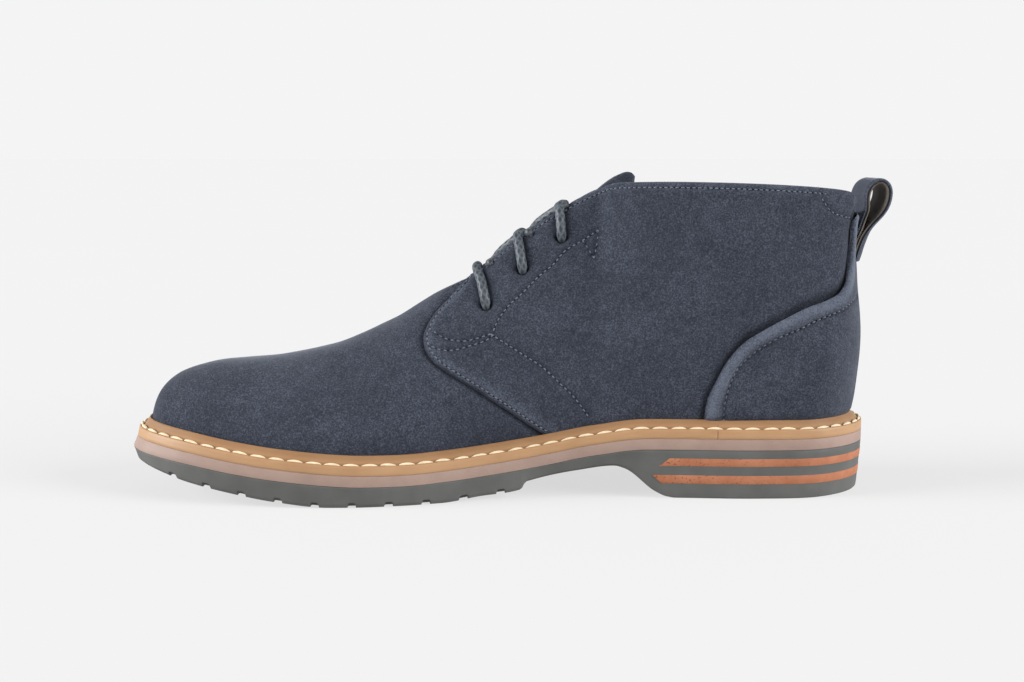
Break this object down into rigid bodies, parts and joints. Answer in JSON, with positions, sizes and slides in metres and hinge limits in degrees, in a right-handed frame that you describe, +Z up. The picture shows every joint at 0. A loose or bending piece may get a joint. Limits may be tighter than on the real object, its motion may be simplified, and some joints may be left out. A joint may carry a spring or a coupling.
{
  "type": "chukka boot",
  "caption": "Right ankle-high suede boot with a laced throat, tongue, heel counter and pull loop on a layered welted sole with a striped heel block",
  "frame": {"origin": "On the ground under the middle of the boot's outer box, pull loop included", "axes": "+Z up, -X towards the toe, +X towards the heel, -Y the inner (medial) side, +Y the outer (lateral) side of a right boot"},
  "size_m": [0.3094, 0.1076, 0.1275],
  "materials": {
    "suede": "napped suede, dark navy",
    "lining": "smooth matt lining leather",
    "tan_welt": "smooth waxed leather, cream stitches",
    "pink_midsole": "fine matt foam rubber",
    "grey_rubber": "matt moulded rubber",
    "orange_inlay": "matt, speckled like cork",
    "lace": "waxed round braid"
  },
  "bodies": {
    "root": {"outsole": "grey_rubber", "midsole": "pink_midsole", "welt": "tan_welt", "insole": "lining", "upper": "suede", "tongue": "suede", "heel_counter": "suede", "pull_loop": "suede", "heel_stripe_upper": "orange_inlay", "heel_stripe_lower": "orange_inlay", "lace_bar_1": "lace", "lace_crossing_2": "lace", "lace_crossing_3": "lace"}
  },
  "joints": []
}
